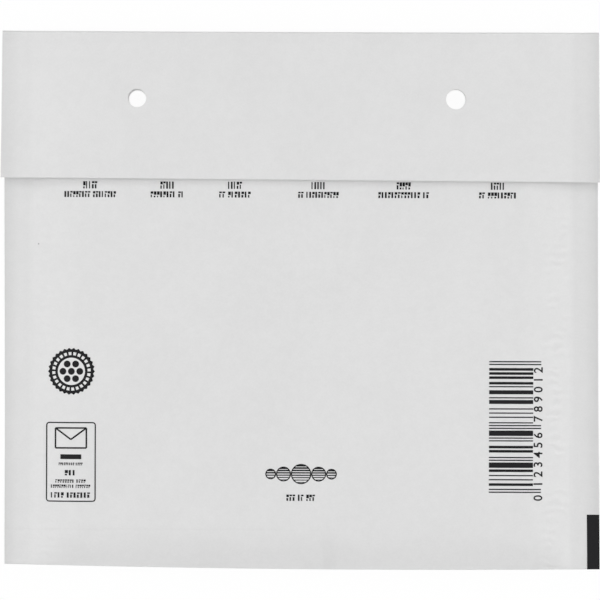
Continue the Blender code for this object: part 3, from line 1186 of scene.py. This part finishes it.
    def stroke(self, start: Place, end: Place, width: float) -> None:
        """A straight line with square ends."""
        ahead = np.subtract(end, start)
        side = np.array([-ahead[1], ahead[0]]) / np.hypot(*ahead) * width / 2
        share = np.linspace(0, 1, 5)[:, None, None]
        way = np.array([1, -1])[None, :, None]
        points = np.asarray(start) + ahead * share + side * way
        self.patch(points[..., 0], points[..., 1])

    def figure(self, text: str, centre: Place, size: float) -> None:
        """A plain figure that reads upwards, its middle at the centre.

        Args:
            text: the figure, from 0 to 9.
            centre: its middle on the print.
            size: its height.
        """
        curve = bpy.data.curves.new("figure", "FONT")
        curve.body = text
        curve.resolution_u = 4
        curve.offset = 0.012
        shape = bpy.data.objects.new("figure", curve)
        bpy.context.scene.collection.objects.link(shape)
        bpy.context.view_layer.update()
        mesh = bpy.data.meshes.new_from_object(shape.evaluated_get(bpy.context.evaluated_depsgraph_get()))
        bm = bmesh.new()
        bm.from_mesh(mesh)
        bmesh.ops.remove_doubles(bm, verts=bm.verts, dist=1e-4)
        bmesh.ops.triangulate(bm, faces=bm.faces)
        rim = [edge for edge in bm.edges if edge.is_boundary]
        lower = bmesh.ops.extrude_face_region(bm, geom=list(bm.faces) + rim)["geom"]
        moved = {item for item in lower if isinstance(item, bmesh.types.BMVert)}
        bm.verts.index_update()
        flat = np.array([vert.co[:2] for vert in bm.verts])
        on_top = np.array([vert not in moved for vert in bm.verts])
        rows = [[vert.index for vert in face.verts] for face in bm.faces]
        bm.free()
        bpy.data.objects.remove(shape)
        bpy.data.curves.remove(curve)
        bpy.data.meshes.remove(mesh)
        order = np.lexsort((on_top, flat[:, 1], flat[:, 0]))  # BMesh's own order varies from run to run
        flat, on_top, rank = flat[order], on_top[order], np.argsort(order)
        rows = [rank[row].tolist() for row in rows]
        rows = sorted(row[row.index(min(row)):] + row[:row.index(min(row))] for row in rows)
        faces = np.array([row + row[:1] * (4 - len(row)) for row in rows])
        low, high = flat.min(axis=0), flat.max(axis=0)
        flat = (flat - (low + high) / 2) * size / (high[1] - low[1])
        x, y = centre[0] - flat[:, 1], centre[1] + flat[:, 0]
        points = self.form.rear(*self.form.square_cut(x, y))
        points[:, 2] += self.lift + np.where(on_top, self.thickness, 0.0)
        self.shells.append((points, faces))

    def build(self, name: str, finish: InkFinish | PaperFinish) -> None:
        """Make the layer one piece."""
        make_piece(name, self.shells, finish.material(name), sharp=SHARP_PRINT)


@dataclass(frozen=True)
class Heading:
    """One of the small two-line groups under the flap: a bold line over a thin one."""

    x: float
    width: float
    words: tuple[int, ...]


@dataclass(frozen=True)
class LabelRow:
    """A row of small print in the label: how far under its middle, as a share of its height."""

    drop: float
    tall: float
    width: float
    words: tuple[int, ...]


@dataclass
class RearPrint:
    """Everything printed on the rear panel: generic bars, rings, figures and bubbles in black.

    The badge's widths are shares of its radius, and the label's places are shares of its size.
    """

    form: PaperForm
    ink: InkFinish = InkFinish()
    blank: PaperFinish = PaperFinish()
    clear_lift: float = 0.00006
    over_lift: float = 0.00009
    thin: float = 0.00002
    bold_y: Span = (0.0372, 0.0396)
    bold_words: tuple[int, ...] = (5,)
    thin_y: Span = (0.0343, 0.0363)
    thin_seed: int = 10
    bold_width: float = 0.0049
    headings: tuple[Heading, ...] = (
        Heading(-0.0709, 0.0175, (9, 8)),
        Heading(-0.0450, 0.0114, (8, 2)),
        Heading(-0.0223, 0.0108, (2, 7)),
        Heading(0.0057, 0.0138, (2, 11)),
        Heading(0.0343, 0.0172, (13, 2)),
        Heading(0.0659, 0.0128, (2, 9)),
    )
    seal_centre: Place = (-0.0771, -0.0242)
    seal_radius: float = 0.0079
    seal_disc: float = 0.88
    seal_rim: float = 0.14
    seal_teeth: int = 30
    seal_tooth: float = 0.07
    seal_band: float = 0.82
    seal_band_width: float = 0.13
    seal_band_parts: int = 24
    seal_band_filled: float = 0.60
    seal_window: float = 0.58
    seal_pitch: float = 0.36
    seal_bubble: float = 0.40  # of the bubbles' pitch
    label_centre: Place = (-0.0772, -0.0546)
    label_size: Place = (0.0168, 0.0268)
    label_corner: float = 0.0011
    frame_weight: float = 1.15  # in lines
    outline_weight: float = 1.5
    outline_half: Place = (0.31, 0.125)
    outline_rise: float = 0.30
    outline_tip: float = 0.15
    bar_half: Place = (0.21, 0.030)
    bar_rise: float = 0.065
    label_seed: int = 30
    label_rows: tuple[LabelRow, ...] = (
        LabelRow(0.025, 0.0009, 0.0082, (9, 4)),
        LabelRow(0.135, 0.0018, 0.0040, (3,)),
        LabelRow(0.240, 0.0011, 0.0104, (8, 4)),
        LabelRow(0.305, 0.0011, 0.0134, (11, 7)),
        LabelRow(0.415, 0.0018, 0.0134, (4, 7)),
    )
    mark_centre: Place = (0.0001, -0.0584)
    mark_radii: tuple[float, ...] = (0.0018, 0.0025, 0.0034, 0.0025, 0.0018)
    stripe_pitch: float = 0.00080
    stripe_shares: Span = (0.30, 0.75)
    mark_print_drop: Span = (0.0090, 0.0069)
    mark_print_width: float = 0.0098
    mark_words: tuple[int, ...] = (3, 2, 3)
    mark_seed: int = 50
    code_left: float = 0.0631
    code_right: float = 0.0779
    guard_right: float = 0.0806
    code_bottom: float = -0.0645
    module: float = 0.000466
    bar_trim: float = 0.00003
    figure_x: float = 0.0796
    figure_size: float = 0.0030
    code_digits: str = "0123456789012"
    code_first_drop: float = 3.6  # of the figure below the bars, in modules
    corner_mark: Place = (0.0042, 0.0182)
    corner_inset: float = 0.00003
    corner_steps: Place = (0.0004, 0.0008)
    line: float = 0.00035

    def print_headings(self, draw: InkLayer) -> None:
        """Six small groups in a row: a short bold line over a longer thin one."""
        for number, heading in enumerate(self.headings):
            draw.small_print(heading.x - self.bold_width / 2, self.bold_width, self.bold_y, self.bold_words,
                             seed=number)
            draw.small_print(heading.x - heading.width / 2, heading.width, self.thin_y, heading.words,
                             seed=self.thin_seed + number)

    def print_seal(self, draw: InkLayer, clear: InkLayer, over: InkLayer) -> None:
        """A round badge: a toothed dark disc, a broken light band and seven bubbles in the middle."""
        centre, radius, parts = self.seal_centre, self.seal_radius, self.seal_band_parts
        draw.disc(centre, radius * self.seal_disc, parts=24)
        draw.toothed_ring(centre, radius, radius * self.seal_rim, self.seal_teeth, radius * self.seal_tooth)
        for part in range(parts):
            clear.ring(centre, radius * self.seal_band, radius * self.seal_band_width,
                       start=part * TURN / parts, sweep=TURN / parts * self.seal_band_filled)
        clear.disc(centre, radius * self.seal_window, parts=12)
        pitch = radius * self.seal_pitch
        spots = [(0.0, 0.0)] + [(math.cos(k * TURN / 6), math.sin(k * TURN / 6)) for k in range(6)]
        for x, y in spots:
            over.disc((centre[0] + pitch * x, centre[1] + pitch * y), pitch * self.seal_bubble, parts=6)

    def print_label(self, draw: InkLayer) -> None:
        """A rounded frame round the outline of a plain closed envelope and rows of bars."""
        x, y = self.label_centre
        width, height = self.label_size
        draw.frame(self.label_centre, self.label_size, self.label_corner, self.line * self.frame_weight)
        half_x, half_y = width * self.outline_half[0], height * self.outline_half[1]
        top = y + height * self.outline_rise
        corners = [(x - half_x, top + half_y), (x + half_x, top + half_y), (x + half_x, top - half_y),
                   (x - half_x, top - half_y)]
        for start, end in zip(corners, corners[1:] + corners[:1]):
            draw.stroke(start, end, self.line * self.outline_weight)
        for corner in corners[:2]:
            draw.stroke(corner, (x, top - half_y * self.outline_tip), self.line * self.outline_weight)
        middle = y + height * self.bar_rise
        half_x, half_y = width * self.bar_half[0], height * self.bar_half[1]
        draw.bar(x - half_x, x + half_x, middle - half_y, middle + half_y)
        for number, row in enumerate(self.label_rows):
            middle = y - height * row.drop
            draw.small_print(x - row.width / 2, row.width, (middle - row.tall / 2, middle + row.tall / 2),
                             row.words, seed=self.label_seed + number)

    def print_mark(self, draw: InkLayer) -> None:
        """A row of hatched bubbles over a row of short bars, in the middle of the panel."""
        x = self.mark_centre[0] - sum(self.mark_radii)
        for radius in self.mark_radii:
            x += radius
            centre = (x, self.mark_centre[1])
            draw.ring(centre, radius, self.line)
            draw.striped_disc(centre, radius - self.line * 0.5, self.stripe_pitch, *self.stripe_shares)
            x += radius
        low, high = (self.mark_centre[1] - drop for drop in self.mark_print_drop)
        draw.small_print(self.mark_centre[0] - self.mark_print_width / 2, self.mark_print_width, (low, high),
                         self.mark_words, seed=self.mark_seed)

    def code_bars(self) -> str:
        """The bars of the 13-figure shop code as ones and zeros, from its standard seven-part table."""
        odd = ("0001101", "0011001", "0010011", "0111101", "0100011",
               "0110001", "0101111", "0111011", "0110111", "0001011")
        flipped = str.maketrans("01", "10")
        left = "".join(odd[int(figure)] for figure in self.code_digits[1:7])
        right = "".join(odd[int(figure)].translate(flipped) for figure in self.code_digits[7:])
        return f"101{left}01010{right}101"

    def print_code(self, draw: InkLayer) -> None:
        """Level bars stacked upwards, longer at both ends and in the middle, with plain figures beside."""
        bars = self.code_bars()
        guards = {*range(3), *range(45, 50), *range(92, 95)}
        start = 0
        while start < len(bars):
            end = start
            while end < len(bars) and bars[end] == "1":
                end += 1
            if end > start:
                right = self.guard_right if start in guards else self.code_right
                draw.bar(self.code_left, right, self.code_bottom + start * self.module + self.bar_trim,
                         self.code_bottom + end * self.module - self.bar_trim)
            start = end + 1
        middles = [-self.code_first_drop] + [half + 7 * k for half in (6.5, 53.5) for k in range(6)]
        for figure, middle in zip(self.code_digits, middles):
            draw.figure(figure, (self.figure_x, self.code_bottom + middle * self.module), self.figure_size)

    def print_corner(self, draw: InkLayer) -> None:
        """The solid block at the lower right corner, printed to the edge and round the bottom fold."""
        form = self.form
        right = form.half_width - self.corner_inset
        x = divide((form.half_width - self.corner_mark[0], right), self.corner_steps[:1])[:, None]
        y = divide((form.bottom_y + self.corner_mark[1], form.fold_y), self.corner_steps[1:])[None]
        angle = np.linspace(0, math.pi / 2, 5)[None, 1:]
        points = np.concatenate([form.rear(x, y), form.bottom_fold(x, angle)], axis=1)
        draw.coat(points, grid_normals(points))

    def build(self) -> None:
        """Print the panel, one piece for each group."""
        names = ("ink_headings", "ink_badge", "ink_label", "ink_bubble_row", "ink_bar_code",
                 "ink_corner_block")
        drawings = {name: InkLayer(self.form) for name in names}
        clear = InkLayer(self.form, lift=self.clear_lift, thickness=self.thin)
        over = InkLayer(self.form, lift=self.over_lift, thickness=self.thin)
        self.print_headings(drawings["ink_headings"])
        self.print_seal(drawings["ink_badge"], clear, over)
        self.print_label(drawings["ink_label"])
        self.print_mark(drawings["ink_bubble_row"])
        self.print_code(drawings["ink_bar_code"])
        self.print_corner(drawings["ink_corner_block"])
        for name, drawing in drawings.items():
            drawing.build(name, self.ink)
        clear.build("badge_clear_parts", self.blank)
        over.build("ink_badge_bubbles", self.ink)


@dataclass(frozen=True)
class Lamp:
    """One rectangular soft lamp."""

    name: str
    place: tuple[float, float, float]
    power: float
    size: Place


@dataclass
class Studio:
    """White floor, soft light from both sides and a camera that looks straight down."""

    form: PaperForm
    distance: float = 1.9
    view_width: float = 0.2017
    sensor: float = 36.0
    clip: Span = (0.05, 20.0)
    aim: Place = (-0.00047, 0.0)
    roll: float = 0.20
    floor_half: float = 2.5
    floor_z: float = -0.00002
    floor_colour: Colour = (0.95, 0.95, 0.95)
    floor_shown: float = 0.97
    fill: float = 0.325
    lamps: tuple[Lamp, ...] = (
        Lamp("left_lamp", (-0.85, 0.0, 0.42), 4.95, (0.50, 0.35)),
        Lamp("right_lamp", (0.85, 0.0, 0.42), 4.95, (0.50, 0.35)),
        Lamp("top_lamp", (0.0, 0.85, 0.75), 1.85, (0.60, 0.45)),
        Lamp("bottom_lamp", (0.0, -0.85, 0.75), 1.60, (0.60, 0.45)),
    )

    def shown_white(self, tree: bpy.types.NodeTree, share: float) -> Socket:
        """How far a white surface shows as plain white: to the camera, and in gloss and glass."""
        path = tree.nodes.new("ShaderNodeLightPath").outputs
        total = path["Is Camera Ray"]
        for name in ("Is Glossy Ray", "Is Transmission Ray"):
            inputs = {0: total, 1: path[name]}
            total = add_node(tree, "ShaderNodeMath", inputs, operation="MAXIMUM").outputs[0]
        return add_node(tree, "ShaderNodeMath", {0: total, 1: share}, operation="MULTIPLY").outputs[0]

    def floor(self) -> None:
        """A large pale floor just under the envelope, which keeps its shadow."""
        reach, z = self.floor_half, self.floor_z
        mesh = bpy.data.meshes.new("floor")
        mesh.from_pydata([(-reach, -reach, z), (reach, -reach, z), (reach, reach, z), (-reach, reach, z)], [],
                         [(0, 1, 2, 3)])
        floor = bpy.data.objects.new("floor", mesh)
        bpy.context.scene.collection.objects.link(floor)
        material = bpy.data.materials.new("floor_white")
        material.use_nodes = True
        tree = material.node_tree
        tree.nodes.clear()
        matt = add_node(tree, "ShaderNodeBsdfDiffuse", {"Color": (*self.floor_colour, 1.0)})
        glow = add_node(tree, "ShaderNodeEmission", {"Color": (1.0, 1.0, 1.0, 1.0), "Strength": 1.0})
        shown = self.shown_white(tree, self.floor_shown)
        mix = add_node(tree, "ShaderNodeMixShader", {0: shown, 1: matt.outputs[0], 2: glow.outputs[0]})
        add_node(tree, "ShaderNodeOutputMaterial", {"Surface": mix.outputs[0]})
        mesh.materials.append(material)

    def world(self) -> None:
        """An even fill light, seen as white."""
        world = bpy.data.worlds.new("studio")
        world.use_nodes = True
        tree = world.node_tree
        back = tree.nodes["Background"]
        back.inputs["Color"].default_value = (1.0, 1.0, 1.0, 1.0)
        inputs = {"Value": self.shown_white(tree, 1.0), "To Min": self.fill, "To Max": 1.0}
        mix = add_node(tree, "ShaderNodeMapRange", inputs)
        give(tree, back.inputs["Strength"], mix.outputs["Result"])
        bpy.context.scene.world = world

    def light(self) -> None:
        """Hang the soft lamps, each one turned to the middle of the envelope."""
        for lamp in self.lamps:
            data = bpy.data.lights.new(lamp.name, "AREA")
            data.shape = "RECTANGLE"
            data.size, data.size_y = lamp.size
            data.energy = lamp.power
            hung = bpy.data.objects.new(lamp.name, data)
            hung.location = lamp.place
            hung.rotation_euler = (-Vector(lamp.place)).to_track_quat("-Z", "Y").to_euler()
            bpy.context.scene.collection.objects.link(hung)

    def camera(self) -> None:
        """A long lens straight above the middle, turned a little as the envelope lies."""
        data = bpy.data.cameras.new("camera")
        data.sensor_width = self.sensor
        data.lens = data.sensor_width * (self.distance - self.form.mid_z) / self.view_width
        data.clip_start, data.clip_end = self.clip
        camera = bpy.data.objects.new("camera", data)
        camera.location = (*self.aim, self.distance)
        camera.rotation_euler = (0.0, 0.0, math.radians(self.roll))
        bpy.context.scene.collection.objects.link(camera)
        bpy.context.scene.camera = camera

    def build(self) -> None:
        """Set the stage."""
        bpy.context.scene.view_settings.view_transform = "Standard"
        self.camera()
        self.floor()
        self.world()
        self.light()


def main() -> None:
    """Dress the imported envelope, piece by piece."""
    logging.basicConfig(level=logging.INFO, format="%(name)s: %(message)s")
    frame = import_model()
    form = PaperForm.from_frame()
    Studio(form).build()
    punch = Punch(form, frame["record"]["physics"]["openings"])
    OuterEnvelope(form).build(punch)
    BubbleLiner(form).build(punch)
    ClosingStrip(form).build()
    RearPrint(form).build()


if __name__ == "__main__":
    main()
